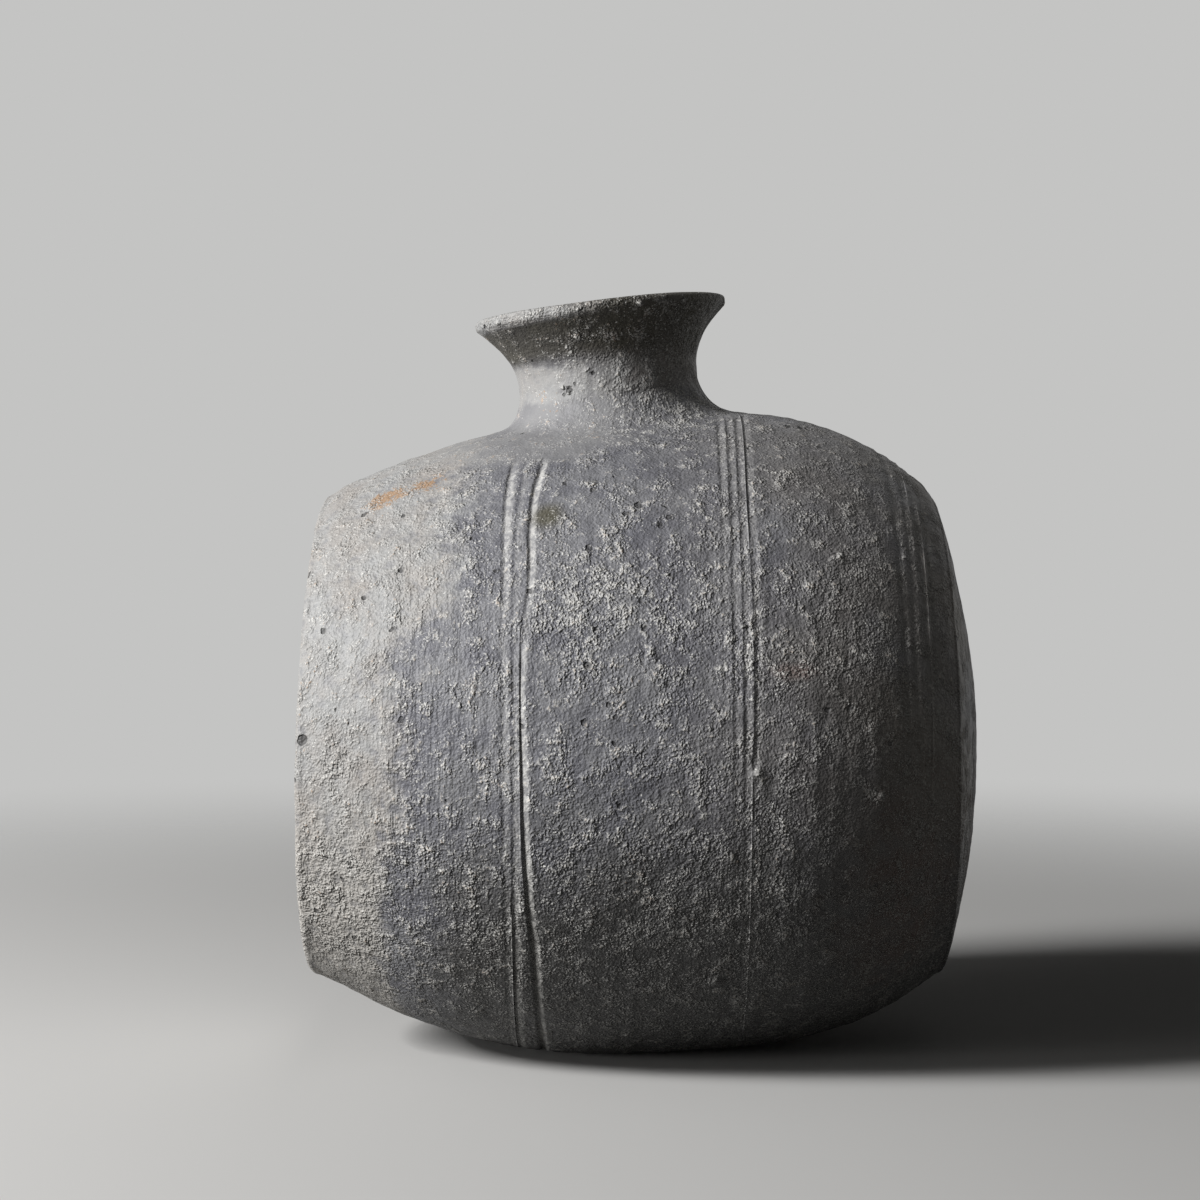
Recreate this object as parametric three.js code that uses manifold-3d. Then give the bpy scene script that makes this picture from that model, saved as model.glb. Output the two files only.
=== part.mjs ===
// Barrel-shaped stoneware jar: a thrown barrel lying on its side, closed by a flat base disc at one end and a
// shallow domed cap at the other, with a flaring neck luted over a hole in the top of the wall.
// Millimetres, +Z up. X runs along the barrel from the base disc (-X) to the domed cap (+X). The origin is
// where the jar rests, under the middle of its length.
import * as THREE from "three";
import { mergeVertices } from "three/addons/utils/BufferGeometryUtils.js";
import Module from "manifold-3d";

// Barrel
const BASE_X = -98.2; // outer face of the flat base disc
const BASE_RADIUS = 71.5; // radius of that face
const BASE_LEAN = 1.6; // degrees by which that face leans back at the top
const BELLY_X = 0; // widest place
const BELLY_RADIUS = 97;
const BASE_SIDE_POWER = 2.2; // how late the wall draws in towards the base disc
const CAP_EDGE_X = 88.2; // sharp ridge round the domed end
const CAP_EDGE_RADIUS = 72.5;
const CAP_LEAN = 1.1; // degrees by which the domed end leans back at the top
const CAP_SIDE_POWER = 3.2; // how late the wall draws in towards the cap
const CAP_DOME_HEIGHT = 11.9; // rise of the cap beyond its ridge
const SAG_HEIGHT = 1.45; // how far the barrel's axis bows up and down from level
const SAG_TOP_X = 43; // where the axis is highest
const SAG_REACH = 100; // from there to where it is lowest
const WALL = 6.5;
const FLAT_DEPTH = 1.5; // how far below the ground the belly would reach if it weren't flattened
const BASE_THICKNESS = 8;
const BASE_EDGE_ROUND = 2.5;
const EDGE_STATIONS = 3;
const CAP_SEAT = 4; // depth of the cap's rim below its ridge
const CAP_THICKNESS = 7;
const WALL_STATIONS = 12; // rings from end to end, besides those of the incised lines
const CAP_STATIONS = 6;
const AROUND_BARREL = 60;

// Incised bands round the barrel
const LINE_PITCH = 3; // from one incised line to the next
const LINE_WIDTH = 1.8;
const LINE_DEPTH = 0.8;
const BANDS = [
  { x: -35, lines: 3 },
  { x: 26, lines: 4 },
  { x: 76, lines: 4 },
];

// Neck
const NECK_X = -10.6; // where the neck's axis crosses its waist
const NECK_LEAN = 6.5; // degrees, towards the base disc
const WAIST_ABOVE_BELLY = 11.1;
const WAIST_RADIUS = 27;
const WAIST_TO_LIP = 21;
const LIP_RADIUS = 38.2;
const LIP_HEIGHT = 3.6; // height of the lip's outer face
const LIP_THICKNESS = 4;
const LIP_ROUND = 1.1; // rounding of the lip's two top edges
const LIP_STEP = 1; // how far the lip stands out from the flare under it
const NECK_WALL = 5.5;
const FLARE_POWER = 2; // how late the neck opens towards the lip
const FLARE_STATIONS = 6;
const AROUND_NECK = 48;

// Luting
const CLEARANCE = 0.3; // between pieces that meet on a curved face
const COLLAR_RADIUS = 41; // reach of the clay smoothed round the neck's foot
const COLLAR_BELOW_WAIST = 1.6; // how far short of the neck's waist it ends
const COLLAR_EDGE = 1; // height of its outer edge above that surface
const COLLAR_TOP = 0.7; // thickness left where it ends on the neck
const COLLAR_SWEEP_POWER = 5; // how late its surface turns up to the neck
const COLLAR_STATIONS = 6;
const COVE_RADIUS = 6; // of the coil smoothed into the corner between the base disc and the wall
const COVE_STATIONS = 4;

const AXIS_Z = BELLY_RADIUS - FLAT_DEPTH;
const BASE_JOINT_X = BASE_X + BASE_THICKNESS;
const CAP_JOINT_X = CAP_EDGE_X - CAP_SEAT;
const BELLY_TOP_Z = AXIS_Z + BELLY_RADIUS;
const LEAN = THREE.MathUtils.degToRad(NECK_LEAN);
const FOOT_X = NECK_X + WAIST_ABOVE_BELLY * Math.tan(LEAN); // where the neck's axis meets the belly's top
const NECK_BURIED = WAIST_ABOVE_BELLY + BELLY_RADIUS / 3; // where the neck's blank starts, inside the barrel

const wasm = await Module();
wasm.setup();

// A closed three.js geometry as a solid that can be cut and joined.
function solid(geometry) {
  const bare = geometry.clone();
  bare.deleteAttribute("normal");
  bare.deleteAttribute("uv");
  const merged = mergeVertices(bare, 1e-4);
  return new wasm.Manifold(
    new wasm.Mesh({
      numProp: 3,
      vertProperties: merged.attributes.position.array,
      triVerts: new Uint32Array(merged.index.array),
    }),
  );
}

function geometryOf(manifold) {
  const mesh = manifold.getMesh();
  const geometry = new THREE.BufferGeometry();
  geometry.setAttribute("position", new THREE.BufferAttribute(mesh.vertProperties, 3));
  geometry.setIndex(new THREE.BufferAttribute(mesh.triVerts, 1));
  geometry.computeVertexNormals();
  return geometry;
}

// Evenly spread numbers from first to last, both included.
function spread(first, last, steps) {
  return Array.from({ length: steps + 1 }, (_, i) => first + ((last - first) * i) / steps);
}

// The barrel's outer radius at x, between its two ends.
function barrelRadius(x) {
  const towardsBase = x < BELLY_X;
  const reach = towardsBase ? BELLY_X - BASE_X : CAP_EDGE_X - BELLY_X;
  const drop = BELLY_RADIUS - (towardsBase ? BASE_RADIUS : CAP_EDGE_RADIUS);
  const power = towardsBase ? BASE_SIDE_POWER : CAP_SIDE_POWER;
  return BELLY_RADIUS - drop * (Math.abs(x - BELLY_X) / reach) ** power;
}

// Height of the barrel's axis at x: the clay sagged as it dried, so the axis bows a little.
function axisHeight(x) {
  return AXIS_Z + SAG_HEIGHT * Math.cos((Math.PI * (x - SAG_TOP_X)) / SAG_REACH);
}

// How far a point of either end is drawn along X by that end's lean, growing from the joint outwards.
function endLean(x, above) {
  const baseShare = THREE.MathUtils.clamp((BASE_JOINT_X - x) / BASE_THICKNESS, 0, 1);
  const capShare = THREE.MathUtils.clamp((x - CAP_JOINT_X) / CAP_SEAT, 0, 1);
  const base = baseShare * Math.tan(THREE.MathUtils.degToRad(BASE_LEAN));
  const cap = capShare * Math.tan(THREE.MathUtils.degToRad(CAP_LEAN));
  return (base - cap) * above;
}

// A solid turned about the barrel's axis, from a closed outline of [x, radius] points, then bowed as the axis
// is, with its ends leaning.
function turnedOnBarrel(outline) {
  const profile = outline.map(([x, radius]) => new THREE.Vector2(radius, x));
  const geometry = new THREE.LatheGeometry(profile, AROUND_BARREL);
  geometry.rotateZ(-Math.PI / 2); // the lathe's axis becomes X
  const points = geometry.attributes.position;
  for (let i = 0; i < points.count; i++) {
    const x = points.getX(i);
    const above = points.getZ(i);
    points.setX(i, x + endLean(x, above));
    points.setZ(i, above + axisHeight(x));
  }
  return solid(geometry);
}

// Places along the wall where its outline turns, with the incised lines as [x, depth].
function wallStations() {
  const plain = spread(BASE_JOINT_X, CAP_JOINT_X, WALL_STATIONS);
  const inBand = (x) => BANDS.some((b) => Math.abs(x - b.x) < (b.lines * LINE_PITCH) / 2);
  const ends = [BASE_JOINT_X, CAP_JOINT_X];
  const stations = plain.filter((x) => ends.includes(x) || !inBand(x)).map((x) => [x, 0]);
  for (const band of BANDS) {
    for (let line = 0; line < band.lines; line++) {
      const x = band.x + (line - (band.lines - 1) / 2) * LINE_PITCH;
      stations.push([x - LINE_WIDTH / 2, 0], [x, LINE_DEPTH], [x + LINE_WIDTH / 2, 0]);
    }
  }
  return stations.sort((a, b) => a[0] - b[0]);
}

// Everything within the barrel's outer face, grown by some clearance: what meets the barrel is cut by it.
function barrelEnvelope(grow) {
  const outer = spread(BASE_JOINT_X, CAP_JOINT_X, WALL_STATIONS * 2);
  const rise = outer.map((x) => [x, barrelRadius(x) + grow]);
  return turnedOnBarrel([[BASE_JOINT_X, 0], ...rise, [CAP_JOINT_X, 0]]);
}

// The part of space under the plane that the jar stands on.
function groundBelow() {
  const size = (CAP_EDGE_X - BASE_X) * 3;
  const box = new THREE.BoxGeometry(size, size, size);
  box.translate(0, 0, -size / 2);
  return solid(box);
}

function barrelWall() {
  const outer = wallStations().map(([x, depth]) => [x, barrelRadius(x) - depth]);
  const inner = spread(CAP_JOINT_X, BASE_JOINT_X, WALL_STATIONS).map((x) => [x, barrelRadius(x) - WALL]);
  const wall = turnedOnBarrel([...outer, ...inner, outer[0]]);
  return wall.subtract(neckHole()).subtract(groundBelow());
}

// The flat slab that the barrel was thrown on, with a rounded outer edge.
function baseDisc() {
  const edge = barrelRadius(BASE_X + BASE_EDGE_ROUND);
  const round = spread(90, 0, EDGE_STATIONS).map((degrees) => {
    const turn = THREE.MathUtils.degToRad(degrees);
    const x = BASE_X + BASE_EDGE_ROUND * (1 - Math.sin(turn));
    return [x, edge - BASE_EDGE_ROUND * (1 - Math.cos(turn))];
  });
  const joint = [BASE_JOINT_X, barrelRadius(BASE_JOINT_X)];
  return turnedOnBarrel([[BASE_X, 0], ...round, joint, [BASE_JOINT_X, 0]]);
}

// The domed cap that closed the barrel, hollow on its inner side.
function closingCap() {
  const joint = barrelRadius(CAP_JOINT_X);
  const seat = joint - WALL;
  const dome = spread(0, 1, CAP_STATIONS).map((share) => {
    const x = CAP_EDGE_X + CAP_DOME_HEIGHT * (1 - share ** 2);
    return [x, CAP_EDGE_RADIUS * share];
  });
  const hollow = spread(0, 1, CAP_STATIONS).map((share) => {
    const depth = CAP_EDGE_X + CAP_DOME_HEIGHT - CAP_THICKNESS - CAP_JOINT_X;
    return [CAP_JOINT_X + depth * (1 - share ** 2), seat * share];
  });
  const outline = [...hollow, [CAP_JOINT_X, joint], ...dome.reverse()];
  return turnedOnBarrel(outline);
}

// The coil of clay inside the corner between the base disc and the wall, smoothed to a hollow round.
function baseCoil() {
  const corner = [BASE_JOINT_X, barrelRadius(BASE_JOINT_X) - WALL - CLEARANCE];
  const cove = spread(0, 90, COVE_STATIONS).map((degrees) => {
    const turn = THREE.MathUtils.degToRad(degrees);
    const x = BASE_JOINT_X + COVE_RADIUS * (1 - Math.sin(turn));
    return [x, corner[1] - COVE_RADIUS * (1 - Math.cos(turn))];
  });
  return turnedOnBarrel([corner, ...cove, corner]);
}

// A solid of revolution about the leaning axis of the neck, from [height above the waist, radius] points.
function turnedOnNeck(outline) {
  const points = outline.map(([height, radius]) => new THREE.Vector2(radius, height));
  const geometry = new THREE.LatheGeometry(points, AROUND_NECK);
  geometry.rotateX(Math.PI / 2); // the lathe's axis becomes Z
  geometry.rotateY(-LEAN);
  geometry.translate(NECK_X, 0, BELLY_TOP_Z + WAIST_ABOVE_BELLY);
  return solid(geometry);
}

// The neck's outer radius at a height above its waist; below the waist it is straight.
function neckRadius(height) {
  const share = Math.max(0, height) / (WAIST_TO_LIP - LIP_HEIGHT);
  return WAIST_RADIUS + (LIP_RADIUS - LIP_STEP - WAIST_RADIUS) * share ** FLARE_POWER;
}

// The hole in the wall under the neck, as wide as the neck's bore.
function neckHole() {
  const bore = WAIST_RADIUS - NECK_WALL;
  return turnedOnNeck([
    [-NECK_BURIED, 0],
    [-NECK_BURIED, bore],
    [WAIST_TO_LIP, bore],
    [WAIST_TO_LIP, 0],
  ]);
}

// The thrown neck with its flaring lip, cut to sit on the barrel.
function neck() {
  const underLip = WAIST_TO_LIP - LIP_HEIGHT;
  const heights = spread(0, underLip, FLARE_STATIONS);
  const outer = [[-NECK_BURIED, WAIST_RADIUS], ...heights.map((h) => [h, neckRadius(h)])];
  const lip = [
    [underLip + LIP_STEP, LIP_RADIUS],
    [WAIST_TO_LIP - LIP_ROUND, LIP_RADIUS],
    [WAIST_TO_LIP, LIP_RADIUS - LIP_ROUND],
    [WAIST_TO_LIP, LIP_RADIUS - LIP_THICKNESS + LIP_ROUND],
    [WAIST_TO_LIP - LIP_ROUND, LIP_RADIUS - LIP_THICKNESS],
  ];
  const inner = heights.map((h) => [h, neckRadius(h) - NECK_WALL]).reverse();
  const bore = [-NECK_BURIED, WAIST_RADIUS - NECK_WALL];
  const blank = turnedOnNeck([...outer, ...lip, ...inner, bore, outer[0]]);
  return blank.subtract(barrelEnvelope(CLEARANCE));
}

// A ring round the neck's foot, from a closed outline of [height above the barrel, radius] points: turned
// about a vertical axis, laid on the barrel's surface, and sheared to lean as the neck does.
function laidOnBarrel(outline) {
  const profile = outline.map(([height, radius]) => new THREE.Vector2(radius, height));
  const geometry = new THREE.LatheGeometry(profile, AROUND_NECK);
  const points = geometry.attributes.position;
  for (let i = 0; i < points.count; i++) {
    const x = FOOT_X + points.getX(i) / Math.cos(LEAN);
    const y = -points.getZ(i);
    const z = axisHeight(x) + Math.sqrt(barrelRadius(x) ** 2 - y ** 2) + points.getY(i);
    points.setXYZ(i, x + (BELLY_TOP_Z - z) * Math.tan(LEAN), y, z);
  }
  return solid(geometry);
}

// The clay smoothed round the foot of the neck, over the ends of the incised lines.
function lutingCollar() {
  const inside = WAIST_RADIUS + CLEARANCE;
  const top = WAIST_ABOVE_BELLY - COLLAR_BELOW_WAIST;
  const sweep = spread(0, 1, COLLAR_STATIONS).map((share) => {
    const radius = COLLAR_RADIUS + (inside + COLLAR_TOP - COLLAR_RADIUS) * share;
    return [COLLAR_EDGE + (top - COLLAR_EDGE) * share ** COLLAR_SWEEP_POWER, radius];
  });
  const bottomInside = [-WALL, inside];
  const outline = [bottomInside, [-WALL, COLLAR_RADIUS], ...sweep, [top, inside], bottomInside];
  return laidOnBarrel(outline).subtract(barrelEnvelope(CLEARANCE));
}

function stoneware(color) {
  return new THREE.MeshStandardMaterial({ color, roughness: 0.9, metalness: 0 });
}

const jar = new THREE.Group();
const pieces = {
  base_disc: [baseDisc, 0x8a8884],
  barrel_wall: [barrelWall, 0x5f5f61],
  closing_cap: [closingCap, 0x55504c],
  base_luting_coil: [baseCoil, 0x6a6764],
  neck: [neck, 0x6e6d6b],
  neck_luting_collar: [lutingCollar, 0x7a7977],
};
for (const [name, [make, color]] of Object.entries(pieces)) {
  const mesh = new THREE.Mesh(geometryOf(make()), stoneware(color));
  mesh.name = name;
  jar.add(mesh);
}

export default jar;
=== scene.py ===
import math

import bpy
import numpy as np
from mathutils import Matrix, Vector, noise


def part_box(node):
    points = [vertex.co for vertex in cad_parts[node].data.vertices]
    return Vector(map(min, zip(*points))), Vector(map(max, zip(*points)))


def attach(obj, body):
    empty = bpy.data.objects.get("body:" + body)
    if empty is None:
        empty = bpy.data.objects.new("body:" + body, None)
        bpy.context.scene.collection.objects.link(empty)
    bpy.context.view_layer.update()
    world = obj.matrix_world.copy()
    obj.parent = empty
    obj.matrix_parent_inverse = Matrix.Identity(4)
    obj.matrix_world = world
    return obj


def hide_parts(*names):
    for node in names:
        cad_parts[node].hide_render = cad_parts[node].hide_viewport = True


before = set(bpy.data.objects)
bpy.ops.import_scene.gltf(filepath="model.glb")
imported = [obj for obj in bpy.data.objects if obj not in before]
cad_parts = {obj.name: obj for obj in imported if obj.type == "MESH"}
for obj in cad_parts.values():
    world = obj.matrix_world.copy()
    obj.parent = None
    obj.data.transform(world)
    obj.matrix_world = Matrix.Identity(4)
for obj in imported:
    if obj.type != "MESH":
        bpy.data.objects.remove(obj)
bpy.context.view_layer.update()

MM = 0.001

# Sizes read from the frame
_, base_high = (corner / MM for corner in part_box("base_disc"))
wall_low, wall_high = (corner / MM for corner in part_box("barrel_wall"))
cap_low, cap_high = (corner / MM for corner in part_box("closing_cap"))
BASE_JOINT_X = base_high.x
CAP_JOINT_X = cap_low.x
CAP_TOP_X = cap_high.x
BELLY_RADIUS = (wall_high.y - wall_low.y) / 2

# Barrel
BASE_THICKNESS = 8
BASE_X = BASE_JOINT_X - BASE_THICKNESS
BASE_RADIUS = 71.5
BASE_LEAN = math.radians(1.6)
BASE_SIDE_POWER = 2.2
BASE_EDGE_ROUND = 2.5
BELLY_X = 0
CAP_SEAT = 4
CAP_EDGE_X = CAP_JOINT_X + CAP_SEAT
CAP_EDGE_RADIUS = 72.5
CAP_EDGE_ROUND = 0.9
CAP_LEAN = math.radians(1.1)
CAP_SIDE_POWER = 3.2
CAP_THICKNESS = 7
SAG_HEIGHT = 1.45
SAG_TOP_X = 43
SAG_REACH = 100
WALL = 6.5
FLAT_DEPTH = 1.5
FLAT_EDGE_SOFTNESS = 0.5
COVE_RADIUS = 6
COVE_CLEARANCE = 0.4
COVE_LIFT = 0.02
AXIS_Z = BELLY_RADIUS - FLAT_DEPTH
BELLY_TOP_Z = AXIS_Z + BELLY_RADIUS

# Neck
NECK_X = -10.6
LEAN = math.radians(6.5)
WAIST_ABOVE_BELLY = 11.1
WAIST_RADIUS = 27
WAIST_TO_LIP = 21
LIP_RADIUS = 38.2
LIP_HEIGHT = 3.6
LIP_THICKNESS = 4
LIP_STEP = 1
LIP_ROUND = 1.3
NECK_WALL = 5.5
NECK_START = -9  # heights above the waist of the neck's lowest free ring and of its foot
NECK_FOOT = -11
FOOT_LIFT = 0.05
BORE_REACH = (-45, 25)  # heights between which the wall is opened
FLARE_POWER = 2
FOOT_X = NECK_X + WAIST_ABOVE_BELLY * math.tan(LEAN)

# Clay smoothed round the neck's foot
COLLAR_RADIUS = 42.5
COLLAR_BELOW_WAIST = 0.6
COLLAR_OVERLAP = 0.12
COLLAR_SWEEP = 4.6
COLLAR_SWEEP_CHANGE = 0.9
COLLAR_CLIMB_POWER = 0.7
COLLAR_LIFT = 0.12
COLLAR_EDGE_SUNK = 0.15
COLLAR_UNDERSIDE = ((-1, 0.4), (20, 0.6), (0, 0.6))  # as (ring of the outer side, depth under the barrel)

# The uneven surface of hand-made clay, as layers of (height, size of the features, seed, octaves)
BARREL_LAYERS = [(0.4, 60, 1, 1), (0.3, 15, 2, 2), (0.16, 3.4, 3, 2)]
NECK_LAYERS = [(0.4, 30, 11, 1), (0.2, 9, 12, 2), (0.12, 2.6, 13, 2)]
RIM_LAYERS = [(0.5, 34, 14, 1)]
COIL_LAYERS = [(0.5, 9, 6, 2)]
COLLAR_LAYERS = [(0.25, 7, 21, 2)]
FACE_UNEVENNESS = 0.6  # of the barrel's own, on its two end faces

# Rings that the potter's fingers left
RING_HEIGHT = 0.05
FINE_RING = 1.1
WIDE_RING = 3.1
RING_DRIFT = 9

# Incised lines. "x" is where a line's rings of points lie on the turned form. "run" gives where the line
# really goes, as (angle, x), and "depth" how deep it was cut there, as (angle, depth).
LINES = [
    {
        "x": -38.8,
        "run": [(-70, -38.4), (-40, -38.3), (0, -38.8), (12, -38.8), (19, -39.4), (27, -39), (42, -39.2),
                (53, -39), (62, -37.2), (180, -38)],
        "depth": [(-75, 0.1), (-10, 0.15), (5, 0.2), (14, 0.15), (24, 0.12), (32, 0.3), (45, 0.4),
                  (62, 0.45), (180, 0.25)],
    },
    {
        "x": -36,
        "run": [(-70, -36), (-48, -36.4), (-12, -35.7), (4, -35.9), (25, -36), (45, -35.6), (62, -33.4),
                (180, -35)],
        "depth": [(-75, 0.3), (-30, 0.28), (0, 0.22), (10, 0.12), (26, 0.1), (40, 0.14), (62, 0.18),
                  (180, 0.2)],
    },
    {
        "x": -32,
        "run": [(-70, -29.3), (-63, -29.5), (-50, -30.1), (-34, -30.9), (-26, -32.1), (-20, -32.6),
                (-11, -33.4), (0, -33.5), (8, -34.6), (17, -34), (23, -33.4), (28, -32.2), (32, -31.7),
                (41, -32.1), (50, -31.5), (56, -29.7), (62, -28.3), (180, -32)],
        "depth": [(-75, 0.7), (-20, 0.7), (7, 0.42), (17, 0.32), (22, 0.22), (26, 0.12), (32, 0.5),
                  (60, 0.65), (180, 0.4)],
    },
    {
        "x": 21.8,
        "run": [(-60, 22), (0, 21.6), (30, 21.6), (50, 21.9), (74, 22.3), (180, 21.5)],
        "depth": [(-60, 0), (-8, 0.04), (5, 0.08), (30, 0.12), (50, 0.28), (74, 0.35), (180, 0.2)],
    },
    {
        "x": 24.6,
        "run": [(-60, 24.6), (0, 24.4), (30, 24.4), (50, 24.5), (74, 25.2), (180, 24.5)],
        "depth": [(-60, 0), (-8, 0.05), (5, 0.18), (30, 0.18), (50, 0.25), (74, 0.3), (180, 0.2)],
    },
    {
        "x": 27.4,
        "run": [(-60, 27.5), (0, 27.2), (20, 27.3), (50, 27.1), (74, 27.8), (180, 27.5)],
        "depth": [(-60, 0.05), (-8, 0.1), (3, 0.28), (30, 0.22), (50, 0.3), (74, 0.3), (180, 0.25)],
    },
    {
        "x": 30.2,
        "run": [(-60, 30), (-2, 29.6), (3, 30.1), (20, 30.3), (27, 30.1), (34, 29.8), (46, 29.2), (66, 29.8),
                (87, 29.9), (180, 30.5)],
        "depth": [(-60, 0.05), (-8, 0.1), (0, 0.3), (20, 0.28), (50, 0.25), (83, 0.3), (180, 0.3)],
    },
    {
        "x": 71.6,
        "run": [(-40, 71.8), (20, 71.6), (70, 71.2), (180, 71.5)],
        "depth": [(-45, 0.06), (-15, 0.14), (10, 0.22), (70, 0.22), (180, 0.2)],
    },
    {
        "x": 74.5,
        "run": [(-40, 74.8), (20, 74.5), (70, 75.2), (180, 74.5)],
        "depth": [(-45, 0.06), (-15, 0.14), (10, 0.22), (70, 0.18), (180, 0.2)],
    },
    {
        "x": 77.5,
        "run": [(-40, 77.8), (20, 77.9), (70, 77.6), (180, 77.5)],
        "depth": [(-45, 0.06), (-15, 0.14), (10, 0.28), (70, 0.28), (180, 0.25)],
    },
    {
        "x": 80.4,
        "run": [(-40, 80.6), (20, 80.3), (47, 80.3), (180, 80.5)],
        "depth": [(-45, 0.06), (-15, 0.14), (10, 0.28), (70, 0.28), (180, 0.25)],
    },
]
# A line's cut across X, from its middle: a steep left wall and a wide right wall that meet at its bottom
CUT_LEFT = -1.35
CUT_BOTTOM = -0.5
CUT_RIGHT = 1.2
LINE_RINGS = (-1.6, -1.35, -0.95, -0.5, -0.1, 0.3, 0.75, 1.2, 1.5)  # rings of points across a line
COARSE_STEP = 1.15  # the widest step between rings elsewhere

# The banks of clay pushed up beside a line. Their heights are shares of its depth.
LEFT_BANK = 0.16
RIGHT_BANK = 0.1
BANK_AWAY = 0.3
BANK_WIDTH = 0.4

# A line's right wall, facing the light, is polished and painted paler as a highlight over a width, and fully
# where the line is this deep
POLISH_WIDTH = 1.05
POLISH_DEPTH = 0.5

# How far from the neck's foot the clay was wiped smooth, as (direction seen from above, distance), and how
# wide the edge of the wiping is in the shape and in the colour
WIPED_REACH = [(-180, 62), (-140, 58), (-112, 52), (-90, 47), (-60, 41), (-20, 34), (0, 33), (60, 41),
               (90, 47), (140, 55)]
WIPED_EDGE = 6
WIPED_FADE = 14

# Single pits, lumps and pale chips on the barrel, as (x, angle, radius)
PITS = [
    (-96, 3.1, 1.7), (-83.5, -22.5, 1), (-85.5, -27, 1), (-82.9, -42, 0.9), (-70.5, 24.9, 0.8),
    (-69.2, 52.4, 0.8), (-67.5, 7.6, 1.1), (-64.1, -23.1, 0.9), (-42, 33.9, 0.8), (-36.8, 12.8, 1),
    (-32.4, 29.2, 0.9), (-17.2, 6.3, 1.1), (-15.2, 49.6, 0.8), (-9.1, 2.6, 0.9), (-8.6, 6.9, 0.8),
    (-7.4, 29.4, 0.8), (-5.6, 43.6, 1.1), (-2, 45.4, 1.5), (3.8, 40.6, 1.1), (6.2, 42.2, 1.1), (5.5, 12, 0.9),
    (6.6, -11.3, 0.9), (46.9, 75.7, 1.4), (67.8, 31.9, 0.9),
]
LUMPS = [
    (53.9, 35.5, 1.6), (29.6, -3, 1.8), (1.2, 17, 1.2), (-17.2, -2.8, 1), (-15.1, -9.8, 1.2), (-51.1, 9.8, 1),
    (-51.6, 42.1, 1.2), (-52.9, 54.1, 1.1), (26.3, 20.9, 1), (64.3, -8.1, 1.4), (-43.9, -10, 1.1),
    (19, -42.2, 1.8),
]
CHIPS = [
    (27.2, 14.2, 1.2), (20.7, 14.1, 1.5), (1.6, 26.9, 1.2), (-67, -39.2, 1.2), (57.9, -4.1, 0.9),
    (15.5, -9.7, 1.3), (26.6, -27.2, 1), (52.3, -23.7, 0.7), (42.6, -35.1, 1.1), (-46, -33.2, 1.2),
    (-31.6, -49.1, 1),
]
# The same on the neck, as (height above the waist, angle, radius)
NECK_PITS = [
    (-3.6, -117.5, 0.6), (-4.6, -120.5, 0.5), (0.4, -99.2, 0.8), (-1.8, -112.2, 0.5), (18.2, -157, 1.2),
]
NECK_LUMPS = [
    (1.6, -102.4, 1), (10.9, -104, 1.2), (8.8, -112, 1), (7.3, -110.5, 0.8), (13.6, -97, 1), (7.4, -163, 1),
    (-2.6, -120, 0.9), (-4.4, -116.5, 0.8), (18.4, -143, 1.3), (18.6, -100, 1.1), (18.3, -72, 1.2),
    (18.5, -50, 1),
]

SPOT_RISE = 0.6  # a spot's height or depth, and its spread, as shares of its radius
SPOT_SPREAD = 0.9

# The marks of the firing on the barrel. The ash reaches from the flat end to an edge, given as (angle, x),
# and fades over a width, given as (angle, width).
ASH_EDGE = [(-90, -70), (-69, -71), (-56, -74), (-46, -75), (-30, -74), (-13, -71), (-7, -67), (4, -67.5),
            (13, -70), (21, -68), (25, -60), (29, -53), (53, -54), (75, -50), (110, -52), (150, -62),
            (180, -70)]
ASH_FADE = [(-90, 12), (-25, 12), (-5, 28), (20, 36), (32, 28), (60, 28), (180, 28)]
# Oval patches, as (strength, x, angle, reach along X, reach round the barrel)
SPECKLED = [(1, -15, 27, 22, 22), (0.8, 3, 24, 16, 14)]
GRITTY = [(0.7, 20, -38, 85, 75), (0.4, 50, 25, 45, 70)]
COMBED = [(1, -60, 4, 26, 60)]
RUSTY = [(1, -74.5, 61, 9.5, 7), (1, -62.5, 61.5, 8, 7.5)]
OLIVE_STAINED = [(1, -27.5, 44.6, 7.5, 7.5)]
RED_STREAKED = [(1, 40, 13.4, 13, 4), (0.8, 72, -30, 34, 70)]
# Where other marks start, and over what length or angle they grow to full strength
WARM_START = -5
WARM_GROWTH = 80
# Where along X the painted shade on the underside starts, and over what length it grows
UNDERSIDE_SHADE_START = -75
UNDERSIDE_SHADE_GROWTH = 30
LOW_START = 5
LOW_GROWTH = 45
LOW_FROM_AXIS = 30
LOW_FROM_AXIS_GROWTH = 40
NECK_GROWTH = 5
LIP_START = 16.2
LIP_GROWTH = 1.5

# Points round a ring, and the angles of a ring's points as one row
AROUND_BARREL = 400
AROUND_NECK = 256
barrel_angles = ((np.arange(AROUND_BARREL) * (360 / AROUND_BARREL) + 180) % 360 - 180)[None, :]
neck_angles = (np.arange(AROUND_NECK) * (360 / AROUND_NECK))[None, :]

# Rings along each surface
JOINT_HOLD = 0.06  # beside a joint, a second ring holds the shading flat
INNER_RINGS = 14
FACE_RINGS = 46
FACE_MIDDLE = 1.5
DOME_RINGS = 50
SIDE_STEP = 1.2
CAP_FIRST_STEP = 0.8
NECK_RINGS = 42
COLLAR_RINGS = 48
COLLAR_CROWDING = 1.7


def curve_round(angle, pairs):
    """The value at each angle, in degrees, of a curve through (angle, value) pairs that closes on itself."""
    known = sorted(pairs)
    angles = [a for a, _ in known]
    values = [v for _, v in known]
    angles = [angles[-1] - 360] + angles + [angles[0] + 360]
    values = [values[-1]] + values + [values[0]]
    fine = np.arange(-360, 361, 2.0)
    curve = np.interp(fine, angles, values)
    softening = [0.1, 0.2, 0.4, 0.2, 0.1]
    soft = np.convolve(curve, softening, mode="same")
    return np.interp((np.asarray(angle) + 180) % 360 - 180, fine, soft)


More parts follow.
